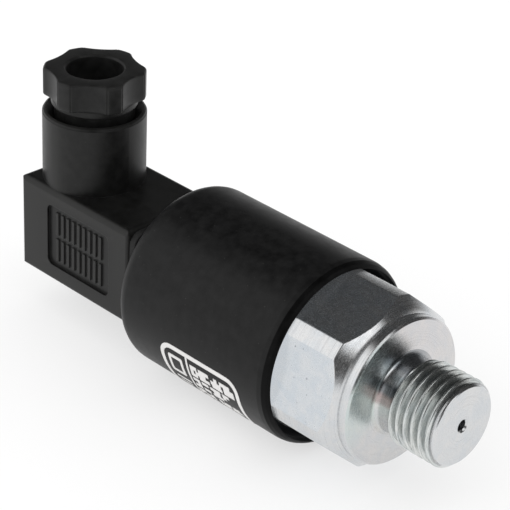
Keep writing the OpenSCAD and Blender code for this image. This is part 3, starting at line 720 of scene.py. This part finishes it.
def add_hexagon(rows, hex_r):
    """Cone, rounded edge and side of the hexagon, whose radius differs from angle to angle."""
    edge_x = -1.6 - (hex_r - FLANGE_R)
    for part in (0.25, 0.5, 0.75):
        rows.add(CONE_X + (edge_x - CONE_X) * part, CONE_R + (hex_r - CONE_R) * part, TURNED)
    # place before the edge and drop below the side, both in HEX_EDGE
    for ahead, drop, material in ((0.72, 0.72, TURNED), (0.30, 0.36, TURNED),
                                  (-0.30, 0.08, FLAT), (-1, 0, FLAT)):
        rows.add(edge_x + HEX_EDGE * ahead, hex_r - HEX_EDGE * drop, material)
    for part in (0.33, 0.66, 0.97):
        rows.add(edge_x - HEX_EDGE + (HEX_BACK - edge_x + HEX_EDGE) * part, hex_r, FLAT)
    rows.add(HEX_BACK + 0.12, hex_r - 0.02, FLAT)
    rows.add(HEX_BACK, hex_r - 0.15, TURNED)


def steel_body():
    columns = set(np.round(np.arange(0, 360, 1.5), 4))
    for k in range(6):
        middle = (FLAT_ANGLE + 60 * k) % 360
        for side in (-1, 1):
            for step in (-0.55, -0.25, 0.0, 0.25, 0.55):
                columns.add(round((middle + side * CORNER + step) % 360, 4))
    degrees = np.array(sorted(columns))
    delta = np.radians(from_mid_flat(degrees))
    hex_r = np.minimum(HEX_R / np.cos(delta), TURN_R)
    # soften the edges between flats and corner strips a little
    from_edge = np.abs(np.abs(np.degrees(delta)) - CORNER)
    hex_r = hex_r - 0.018 * np.clip(1 - from_edge / 0.5, 0, 1)

    rows = Rows(np.radians(degrees))
    # inlet and end face: (x, radius[, rounding])
    end = [(INLET_BACK, INLET_R), (STUD_END - 0.25, INLET_R, 0.1), (STUD_END, 1.06, 0.08),
           (STUD_END, END_R, 0.07), (STUD_END - END_CHAMFER, END_R + END_CHAMFER)]
    rows.add_all(subdivide(fillet(end, steps=3), 0.8))
    add_thread(rows, degrees)
    # relief, face and rim of the flange
    flange = [(NECK_END, NECK_R), (0.0, NECK_R, 0.90), (0.0, FLANGE_R - 0.3, 0.06),
              (-0.3, FLANGE_R, 0.1), (-1.45, FLANGE_R, 0.04), (-1.52, FLANGE_R - 0.10, 0.03),
              (-1.66, FLANGE_R - 0.10, 0.03), (CONE_X, CONE_R)]
    rows.add_all(subdivide(fillet(flange, steps=3), 0.7))
    add_hexagon(rows, hex_r)
    # skirt behind the hexagon, with a groove, then the stepped bore back to the inlet
    inside = [(HEX_BACK, 12.26), (-16.0, 12.25, 0.05), (-16.0, 10.8, 0.1), (-18.2, 10.8, 0.1),
              (-18.2, 12.25, 0.05), (-19.7, 12.25), (-20.0, 11.95), (-20.0, 11.2),
              (-26.5, 11.2, 0.1), (-26.5, 9.35), (-26.1, 9.0), (-8.0, 9.0, 0.2),
              (-8.0, 6.0, 0.05), (-4.05, 6.0), (-4.05, 4.95), (-0.5, 4.95, 0.1),
              (-0.5, BORE_R, 0.05), (INLET_BACK, BORE_R)]
    rows.add_all(subdivide(fillet(inside, steps=2), 2.5))
    obj = rows.build("steel_body", ("zinc_turned", "zinc_flat", "zinc_thread"))
    # the corner strips keep the turned finish
    for polygon in obj.data.polygons:
        if polygon.material_index == FLAT:
            centre = polygon.center / MM
            if abs(from_mid_flat(math.degrees(math.atan2(centre.z, centre.y)))) > CORNER:
                polygon.material_index = TURNED
    return weighted(obj)


place(steel_body(), "housing", "body_hex")

# --------------------------------------------------------------------------
# sleeve: round outside and bore, with a rounded rectangular window in the rear wall
# --------------------------------------------------------------------------
SLEEVE_BORE_R = 12.3
MOUTH_R = 13.25               # wider step at the front, round the hexagon's back
REAR_WALL_X = -41.8           # inner face of the rear wall
WINDOW_W, WINDOW_H, WINDOW_CORNER = 16.2, 14.9, 2.05


def sleeve_radius():
    lo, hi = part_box("sleeve_housing")
    return (hi.z - lo.z) / 2 / MM


def sleeve():
    lo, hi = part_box("sleeve_housing")
    outer = sleeve_radius()
    front, rear = hi.x / MM, lo.x / MM
    angles = even_angles(240)
    window = rounded_rect_radius(angles, WINDOW_W / 2, WINDOW_H / 2, WINDOW_CORNER)
    # (x, radius[, rounding]); the last point only leads the rear corner's rounding inwards
    outline = [(HEX_BACK, MOUTH_R), (front - 0.12, MOUTH_R, 0.05), (front, 13.32, 0.04),
               (front, outer - 0.88, 0.05), (front - 0.12, outer - 0.71, 0.08),
               (front - 0.45, outer - 0.41, 0.3), (front - 1.07, outer - 0.12, 0.10),
               (front - 1.80, outer, 0.9), (rear, outer, 2.5), (rear, 8.0)]
    rows = Rows(angles)
    for x, radius in subdivide(fillet(outline, steps=8)[:-1] + [(rear, 11.0)], 1.6):
        # a faint moulding wave, so that the long surface is not mathematically straight
        wave = (0.010 * np.sin(x * 0.9 + 0.6) * np.sin(angles * 3 + 0.4)
                + 0.006 * np.sin(x * 2.1 + angles * 5))
        rows.add(x, radius - np.where(radius > 14.0, 0.012 + wave * 0.7, 0.0))
    rows.add_all([(rear, window + 0.12), (rear + 0.04, window + 0.04), (rear + 0.12, window),
                  (REAR_WALL_X, window), (REAR_WALL_X, SLEEVE_BORE_R),
                  (HEX_BACK, SLEEVE_BORE_R)])
    return weighted(rows.build("sleeve_shell", ["black_sleeve"]))


place(sleeve(), "housing", "sleeve_housing")

# --------------------------------------------------------------------------
# gland nut: six rounded lobes over a ring, a spigot below and a cable hole
# --------------------------------------------------------------------------
nut_lo, nut_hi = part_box("gland_nut")
GLAND_X = (nut_lo.x + nut_hi.x) / 2 / MM
NUT_R = 7.80
NUT_TOP = nut_hi.z / MM
NUT_HOLE_R = 4.35
SPIGOT_BOTTOM = 17.65
SCALLOP_ANGLE = 12.6          # degrees round Z, the middle of one scallop
LOBE_EDGE = 9.1               # degrees from the middle of a lobe to its edge
SCALLOP_R = 7.5
SCALLOP_OUT = NUT_R + 6.45    # distance of a scallop's centre from the nut's axis
# (degrees, weight) of the average that rounds the lobes' shoulders
LOBE_BLUR = ((-2.4, 0.07), (-1.6, 0.13), (-0.8, 0.19), (0, 0.22), (0.8, 0.19), (1.6, 0.13),
             (2.4, 0.07))


def sharp_lobes(turn):
    """Radius of the nut with sharp lobe edges. turn: radians from the middle of a scallop."""
    turn = (turn + math.pi / 6) % (math.pi / 3) - math.pi / 6
    root = SCALLOP_R ** 2 - (SCALLOP_OUT * np.sin(turn)) ** 2
    return np.minimum(NUT_R, SCALLOP_OUT * np.cos(turn) - np.sqrt(root))


def gland_nut():
    columns = set(np.round(np.arange(0, 360, 1.25), 3))
    for k in range(6):
        for side in (-1, 1):
            for step in (-1.5, -1.0, -0.6, -0.3, 0.0, 0.3, 0.6, 1.0, 1.5):
                angle = SCALLOP_ANGLE + 30 + 60 * k + side * LOBE_EDGE + step
                columns.add(round(angle % 360, 3))
    degrees = np.array(sorted(columns))
    turn = np.radians((degrees - SCALLOP_ANGLE + 30) % 60 - 30)
    lobe = sum(sharp_lobes(turn + math.radians(shift)) * weight for shift, weight in LOBE_BLUR)
    # narrow witness lines where scallop and lobe meet
    from_lobe = np.abs(np.degrees(np.abs(turn)) - 30)
    groove = 0.11 * np.exp(-((from_lobe - LOBE_EDGE) / 0.55) ** 2)
    lobe = np.minimum(lobe, NUT_R) - groove

    rows = Rows(np.radians(degrees))
    # spigot and ring: (z, radius[, rounding])
    lower = [(SPIGOT_BOTTOM, NUT_HOLE_R), (SPIGOT_BOTTOM, 5.9, 0.05), (17.9, 6.15, 0.08),
             (20.3, 6.15, 0.06), (20.3, 6.47, 0.05), (20.45, 6.62, 0.05), (21.30, 6.62)]
    rows.add_all(fillet(lower, steps=2))
    # underside and side of the lobes
    rows.add_all([(21.36, 6.61), (21.37, 6.58), (21.37, np.maximum(lobe - 0.30, 6.48)),
                  (21.42, lobe - 0.16), (21.52, lobe - 0.05), (21.70, lobe)])
    rows.add_all([(z, lobe) for z in np.linspace(22.4, NUT_TOP - 0.75, 5)])
    # the top edge is rounded more on the lobes than in the scallops
    rounding = 0.22 + 0.30 * np.clip((lobe - 6.7) / (NUT_R - 6.7), 0, 1)
    for k in range(7):
        angle = k / 6 * math.pi / 2
        rows.add(NUT_TOP - rounding * (1 - math.sin(angle)),
                 lobe - rounding * (1 - math.cos(angle)))
    hole = [(NUT_TOP, 5.6), (NUT_TOP, 4.65, 0.08), (NUT_TOP - 0.30, NUT_HOLE_R, 0.10),
            (SPIGOT_BOTTOM, NUT_HOLE_R)]
    rows.add_all(fillet(hole, steps=3)[:-1])
    rows.add_all([(z, NUT_HOLE_R) for z in np.linspace(NUT_TOP - 1.0, 18.2, 6)])
    return weighted(rows.build("gland_nut_lobed", ["black_nut"], "z", GLAND_X))


place(gland_nut(), "gland_nut", "gland_nut")

# --------------------------------------------------------------------------
# rubber seal under the nut: a rounded ring with two shallow grooves in its bore
# --------------------------------------------------------------------------
SEAL_BORE_R = 3.10
SEAL_GROOVE_R = 3.34
seal_lo, seal_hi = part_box("gland_seal")
SEAL_BOTTOM, SEAL_TOP = seal_lo.z / MM, seal_hi.z / MM


def gland_seal():
    # (z, radius[, rounding]), closed on its first point
    outline = [(SEAL_BOTTOM, 3.4), (SEAL_BOTTOM, 5.98, 0.35), (SEAL_BOTTOM + 2.2, 5.93, 1.0),
               (SEAL_BOTTOM + 3.4, 5.93, 1.0), (SEAL_TOP - 0.7, 5.98, 0.3),
               (SEAL_TOP, 5.5, 0.25), (SEAL_TOP, 3.42, 0.25),
               (SEAL_TOP - 0.35, SEAL_BORE_R, 0.2), (SEAL_TOP - 1.3, SEAL_BORE_R, 0.3),
               (SEAL_TOP - 1.75, SEAL_GROOVE_R, 0.3), (SEAL_TOP - 2.2, SEAL_BORE_R, 0.3),
               (SEAL_TOP - 3.1, SEAL_BORE_R, 0.3), (SEAL_TOP - 3.55, SEAL_GROOVE_R, 0.3),
               (SEAL_TOP - 4.0, SEAL_BORE_R, 0.3), (SEAL_BOTTOM + 0.3, SEAL_BORE_R, 0.2),
               (SEAL_BOTTOM, 3.4)]
    rows = Rows(even_angles(96))
    rows.add_all(subdivide(fillet(outline, steps=4)[:-1], 0.5))
    return weighted(rows.build("gland_seal_rubber", ["black_rubber"], "z", GLAND_X))


seal = gland_seal()
place(seal, "plug", "gland_seal")
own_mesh(seal)

# --------------------------------------------------------------------------
# flat gasket under the plug: a sheet with a rim, a screw hole and four slots for the blades
# --------------------------------------------------------------------------
GASKET_CORNER = 2.0
SCREW_HOLE_R = 1.7
# (depth from the face, inset from the outer edge, share of the way to the screw hole)
GASKET_PROFILE = [
    (0.14, 0.0, 0), (0.04, 0.04, 0), (0, 0.14, 0), (0, 0.75, 0), (0.04, 0.83, 0),
    (0.14, 0.88, 0), (0.14, 1.3, 0), (0.14, 1.3, 0.35), (0.14, 1.3, 0.75), (0.14, 1.3, 0.90),
    (0.04, 1.3, 0.915), (0, 1.3, 0.93), (0, 1.3, 0.98), (0.06, 1.3, 1.0)]
# one slot: (across, outwards from the X axis)
SLOT_OUTLINE = [
    (-1.55, 3.70), (-1.45, 3.60), (1.45, 3.60), (1.55, 3.70),
    (1.55, 4.50), (1.45, 4.60), (-1.45, 4.60), (-1.55, 4.50)]


def slot_cutter(index, x_from, x_to):
    c, s = math.cos(math.pi / 2 * index), math.sin(math.pi / 2 * index)
    verts = [(x * MM, (u * c - v * s) * MM, (u * s + v * c) * MM)
             for x in (x_from, x_to) for u, v in SLOT_OUTLINE]
    faces = [tuple(range(8)), tuple(reversed(range(8, 16)))]
    faces += [(i, i + 8, (i + 1) % 8 + 8, (i + 1) % 8) for i in range(8)]
    return make_object("slot_%d" % index, verts, faces, ["black_rubber"])


def cut_out(obj, cutters):
    """Takes the cutters' shapes out of a finished mesh and removes them."""
    for cutter in cutters:
        modifier = obj.modifiers.new("cut", "BOOLEAN")
        modifier.operation = "DIFFERENCE"
        modifier.solver = "EXACT"
        modifier.object = cutter
    depsgraph = bpy.context.evaluated_depsgraph_get()
    mesh = bpy.data.meshes.new_from_object(obj.evaluated_get(depsgraph))
    obj.modifiers.clear()
    obj.data = mesh
    for cutter in cutters:
        bpy.data.objects.remove(cutter, do_unlink=True)
    return obj


def flange_gasket():
    lo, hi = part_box("flange_gasket")
    x0, x1 = lo.x / MM, hi.x / MM
    half_y, half_z = (hi.y - lo.y) / 2 / MM, (hi.z - lo.z) / 2 / MM
    angles = even_angles(96)
    loops = [(x0 + depth, inset, share) for depth, inset, share in GASKET_PROFILE]
    loops += [(x1 - depth, inset, share) for depth, inset, share in reversed(GASKET_PROFILE)]
    loops += [(x1 - 0.35, 0, 0), ((x0 + x1) / 2, -0.03, 0), (x0 + 0.35, 0, 0)]
    rows = Rows(angles)
    for x, inset, share in loops:
        edge = rounded_rect_radius(angles, half_y - inset, half_z - inset,
                                   max(0.3, GASKET_CORNER - inset))
        rows.add(x, (1 - share) * edge + share * SCREW_HOLE_R)
    sheet = rows.build("gasket_sheet", ["black_rubber"])
    return cut_out(sheet, [slot_cutter(index, x0 - 1, x1 + 1) for index in range(4)])


place(flange_gasket(), "housing", "flange_gasket")

# --------------------------------------------------------------------------
# adjusting spring: closed-end coil of round wire, shortened by the thrust ring
# --------------------------------------------------------------------------
WIRE = 1.6                    # diameter
COIL_TURNS = 4.75
CLOSED_TURNS = 0.75           # at each end
CLOSED_PITCH = WIRE * 1.04
COIL_STEPS = int(72 * COIL_TURNS)
WIRE_SIDES = 20


def coil():
    lo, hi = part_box("adjusting_spring")
    coil_r = (hi.z - lo.z) / 2 / MM - WIRE / 2
    first, last = hi.x / MM - WIRE / 2, lo.x / MM + WIRE / 2
    open_first = first - CLOSED_PITCH * CLOSED_TURNS
    open_last = last + CLOSED_PITCH * CLOSED_TURNS

    def along(turn):
        if turn < CLOSED_TURNS:
            return first - CLOSED_PITCH * turn
        if turn > COIL_TURNS - CLOSED_TURNS:
            return last + CLOSED_PITCH * (COIL_TURNS - turn)
        part = (turn - CLOSED_TURNS) / (COIL_TURNS - 2 * CLOSED_TURNS)
        return open_first + part * (open_last - open_first)

    turns = np.linspace(0, COIL_TURNS, COIL_STEPS + 1)
    places = np.array([along(turn) for turn in turns])
    for _ in range(30):                   # the pitch changes smoothly from the closed ends
        places[1:-1] = (places[:-2] + 2 * places[1:-1] + places[2:]) / 4
    verts = []
    for i, turn in enumerate(turns):
        angle = 2 * math.pi * turn
        wire_r = WIRE / 2 * (1.0 if 0 < i < COIL_STEPS else 0.86)
        for j in range(WIRE_SIDES):
            side = 2 * math.pi * (j + 0.5) / WIRE_SIDES
            radius = coil_r + wire_r * math.cos(side)
            verts.append(((places[i] + wire_r * math.sin(side)) * MM,
                          radius * math.cos(angle) * MM, radius * math.sin(angle) * MM))
    faces = grid_faces(COIL_STEPS + 1, WIRE_SIDES, closed=False)
    faces.append(tuple(reversed(range(WIRE_SIDES))))
    faces.append(tuple(range(COIL_STEPS * WIRE_SIDES, (COIL_STEPS + 1) * WIRE_SIDES)))
    return make_object("spring_coil", verts, faces, ["spring_wire"])


spring = coil()
place(spring, "housing", "adjusting_spring")
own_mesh(spring)

# --------------------------------------------------------------------------
# printed marking: a thin frame, a square and plain bars, no lettering
# u runs along X and v upwards round the sleeve, both from the frame's centre
# --------------------------------------------------------------------------
LABEL_X = -26.2
LABEL_ANGLE = math.radians(209)
FRAME_W, FRAME_H, FRAME_LINE = 16.3, 10.9, 0.74
# (u from, u to, v from, v to): the dividing line and two bars under the square
PLAIN_BARS = [(-2.75, -2.35, -4.78, 4.78), (-6.4, -3.4, -1.5, -1.0), (-6.4, -3.9, -2.8, -2.3)]
BLOCK = 0.70                  # height of a row of blocks and unit of their length
BLOCK_ROWS = ((2.75, 3), (0.30, 3), (-1.95, 2), (-3.6, 1))    # (middle v, rows in the group)
BLOCKS_FROM, BLOCKS_TO, BLOCKS_LIMIT = -1.95, 6.9, 7.0        # u of a row's start and end


def rounded_rect(centre_u, centre_v, width, height, corner, arc_steps=6, run_steps=14):
    centres = [(centre_u + side_u * (width / 2 - corner), centre_v + side_v * (height / 2 - corner))
               for side_u, side_v in ((1, 1), (-1, 1), (-1, -1), (1, -1))]

    def on_arc(k, quarters):
        angle = math.pi / 2 * quarters
        u, v = centres[k % 4]
        return u + corner * math.cos(angle), v + corner * math.sin(angle)

    points = []
    for k in range(4):
        points += [on_arc(k, k + i / arc_steps) for i in range(arc_steps + 1)]
        start, end = points[-1], on_arc(k + 1, k + 1)
        points += [(start[0] + (end[0] - start[0]) * i / run_steps,
                    start[1] + (end[1] - start[1]) * i / run_steps)
                   for i in range(1, run_steps)]
    return points


def label():
    surface = sleeve_radius()
    base, top = surface - 0.03, surface + 0.035
    verts, faces = [], []

    def point(u, v, radius):
        angle = LABEL_ANGLE - math.asin(v / surface)
        return LABEL_X + u, radius * math.cos(angle), radius * math.sin(angle)

    def ring(outer, inner):
        count = len(outer)
        outer_top, inner_top, outer_base, inner_base = (len(verts) + count * k for k in range(4))
        for radius in (top, base):
            for outline in (outer, inner):
                verts.extend(point(u, v, radius) for u, v in outline)
        for i in range(count):
            j = (i + 1) % count
            faces.extend([
                (outer_top + i, outer_top + j, inner_top + j, inner_top + i),
                (outer_base + i, inner_base + i, inner_base + j, outer_base + j),
                (outer_top + i, outer_base + i, outer_base + j, outer_top + j),
                (inner_top + i, inner_top + j, inner_base + j, inner_base + i)])

    def bar(u0, u1, v0, v1):
        count = max(1, int(abs(v1 - v0) / 0.5))
        start = len(verts)
        for i in range(count + 1):
            v = v0 + (v1 - v0) * i / count
            for u, radius in ((u0, top), (u1, top), (u1, base), (u0, base)):
                verts.append(point(u, v, radius))
        faces.extend(grid_faces(count + 1, 4, closed=False, start=start))
        faces.append(tuple(range(start, start + 4)))
        faces.append(tuple(reversed(range(start + 4 * count, start + 4 * count + 4))))

    ring(rounded_rect(0, 0, FRAME_W, FRAME_H, 2.3),
         rounded_rect(0, 0, FRAME_W - 2 * FRAME_LINE, FRAME_H - 2 * FRAME_LINE, 1.65))
    ring(rounded_rect(-5.05, 1.95, 3.0, 3.6, 0.3, 2, 8),
         rounded_rect(-5.05, 1.95, 1.9, 2.4, 0.12, 2, 8))
    for limits in PLAIN_BARS:
        bar(*limits)
    # rows of blocks with uneven lengths and gaps, drawn from a small random generator
    seed = 7
    for middle, count in BLOCK_ROWS:
        for k in range(count):
            v = middle + (count / 2 - k) * BLOCK
            u = BLOCKS_FROM
            while u < BLOCKS_TO:
                seed = (seed * 1103515245 + 12345) % 2147483648
                draw = seed // 65536
                length = BLOCK * (1 + draw % 3)
                if (draw // 8) % 10 < 7 and u + length < BLOCKS_LIMIT:
                    bar(u, u + length, v - BLOCK * 1.02, v)
                    u += length + BLOCK * (0.7 if (draw // 128) % 2 else 0.5)
                else:
                    u += BLOCK
    return make_object("label_print", np.array(verts) * MM, faces, ["white_print"],
                       smooth=False, merge=1e-9)


place(label(), "housing", "type_label")

# --------------------------------------------------------------------------
# camera
# --------------------------------------------------------------------------
CAMERA_AT = (158.1949, -190.7015, 159.5751)
AZIMUTH, ELEVATION, ROLL = (math.radians(a) for a in (44.57244, 29.38176, 2.64119))
SENSOR, FOCAL_LENGTH = 36, 150.43310118


def add_camera():
    back = Vector((math.sin(AZIMUTH) * math.cos(ELEVATION),
                   -math.cos(AZIMUTH) * math.cos(ELEVATION), math.sin(ELEVATION)))
    forward = -back
    right = forward.cross(Vector((0, 0, 1))).normalized()
    up = right.cross(forward)
    rolled_right = math.cos(ROLL) * right + math.sin(ROLL) * up
    rolled_up = -math.sin(ROLL) * right + math.cos(ROLL) * up
    rotation = Matrix((rolled_right, rolled_up, back)).transposed()
    data = bpy.data.cameras.new("camera")
    camera = bpy.data.objects.new("camera", data)
    bpy.context.scene.collection.objects.link(camera)
    camera.matrix_world = Matrix.Translation(Vector(CAMERA_AT) * MM) @ rotation.to_4x4()
    data.sensor_width = SENSOR
    data.lens = FOCAL_LENGTH
    data.clip_start, data.clip_end = 0.01, 50
    bpy.context.scene.camera = camera


add_camera()

# --------------------------------------------------------------------------
# floor: a square grid just under the product, in metres
# --------------------------------------------------------------------------
FLOOR_HALF = 4.0
FLOOR_CELLS = 8
FLOOR_GAP = 0.00002


def add_floor():
    side = FLOOR_CELLS + 1
    places = [-FLOOR_HALF + 2 * FLOOR_HALF * i / FLOOR_CELLS for i in range(side)]
    verts = [(x, y, cad_lo.z - FLOOR_GAP) for y in places for x in places]
    faces = [(j * side + i, j * side + i + 1, (j + 1) * side + i + 1, (j + 1) * side + i)
             for j in range(FLOOR_CELLS) for i in range(FLOOR_CELLS)]
    mesh = bpy.data.meshes.new("floor")
    mesh.from_pydata(verts, [], faces)
    floor = bpy.data.objects.new("floor", mesh)
    bpy.context.scene.collection.objects.link(floor)
    mat = Surface("floor_white")
    tone = mat.noise(mat.mm, scale=0.01, detail=2.0)
    mat.set(Base_Color=mat.mix(tone, (0.36, 0.36, 0.36), (0.38, 0.38, 0.38)), Roughness=0.9,
            Emission_Color=(1.0, 1.0, 1.0, 1), Emission_Strength=0.61, Specular_IOR_Level=0.1)
    mesh.materials.append(mat.material)


add_floor()

# --------------------------------------------------------------------------
# world: even light, but shiny surfaces see a studio with a large white panel to the left, two
# small ones high at the right and a bright low horizon on the near side (-Y), dark elsewhere
# --------------------------------------------------------------------------
DIFFUSE_STRENGTH = 1.06
DARK_LEVEL = 0.048            # what the reflections see between the panels
# (direction, cosine where the panel fades out, cosine where it is full, strength)
LEFT_PANEL = ((-0.62, -0.62, 0.47), 0.80, 0.94, 1.14)
SMALL_PANEL = ((0.71, 0.05, 0.70), 0.945, 0.975, 1.5)
STRIP_PANEL = ((0.805, -0.20, 0.555), 0.972, 0.990, 1.6)


def add_world():
    world = bpy.data.worlds.new("studio")
    bpy.context.scene.world = world
    sky = Graph(world)
    direction = sky.node("ShaderNodeTexCoord").outputs["Generated"]
    x, y, z = sky.separate(direction)

    def smooth(value, source, target):
        return sky.remap(value, source, target, "SMOOTHSTEP")

    def brightest(a, b):
        return sky.math("MAXIMUM", a, b)

    def panel(aim, outer, inner, strength):
        """A soft-edged bright panel."""
        cosine = sky.vector("DOT_PRODUCT", direction, Vector(aim).normalized())
        return sky.mul(smooth(cosine, (outer, inner), (0.0, 1.0)), strength)

    def background(strength):
        node = sky.node("ShaderNodeBackground")
        node.inputs["Color"].default_value = (1.0, 1.0, 1.0, 1)
        sky.put(node.inputs["Strength"], strength)
        return node.outputs[0]

    near = smooth(y, (0.35, -0.30), (0.62, 1.0))
    front = smooth(x, (0.45, 0.70), (0.0, 1.0))
    # the horizon's glow fades out between these heights, lower towards +X
    fade = [sky.add(height, sky.mul(front, -0.19)) for height in (0.04, 0.30)]
    horizon = sky.mul(smooth(z, fade, (0.95, 0.0)), near)
    # a wide wall of light at -Y, up to mid height and away from +X
    wall = sky.mul(sky.mul(smooth(y, (-0.35, -0.70), (0.0, 0.95)),
                           smooth(z, (0.45, 0.62), (1.0, 0.0))),
                   smooth(x, (0.55, 0.25), (0.0, 1.0)))
    studio = brightest(brightest(brightest(horizon, panel(*STRIP_PANEL)), panel(*LEFT_PANEL)),
                       brightest(wall, panel(*SMALL_PANEL)))
    studio = sky.add(studio, DARK_LEVEL)
    glossy = sky.node("ShaderNodeLightPath").outputs["Is Glossy Ray"]
    shader = sky.mix_shaders(glossy, background(DIFFUSE_STRENGTH), background(studio))
    sky.put(sky.node("ShaderNodeOutputWorld").inputs[0], shader)


add_world()

# --------------------------------------------------------------------------
# key light, in metres and watts, unseen in reflections
# --------------------------------------------------------------------------
KEY_AT = Vector((-0.55, -0.85, 0.75))
KEY_TARGET = Vector((-0.03, 0, 0))

light = bpy.data.lights.new("key", "AREA")
light.shape = "RECTANGLE"
light.size, light.size_y = 0.9, 0.7
light.energy = 2.5
key = bpy.data.objects.new("key", light)
key.location = KEY_AT
key.rotation_euler = (KEY_TARGET - KEY_AT).to_track_quat("-Z", "Y").to_euler()
bpy.context.scene.collection.objects.link(key)
key.visible_glossy = False

bpy.context.scene.view_settings.view_transform = "Standard"
bpy.context.scene.view_settings.look = "None"

# the CAD pieces that stay visible are shaded smooth
for obj in nodes.values():
    if not obj.hide_render:
        for polygon in obj.data.polygons:
            polygon.use_smooth = True
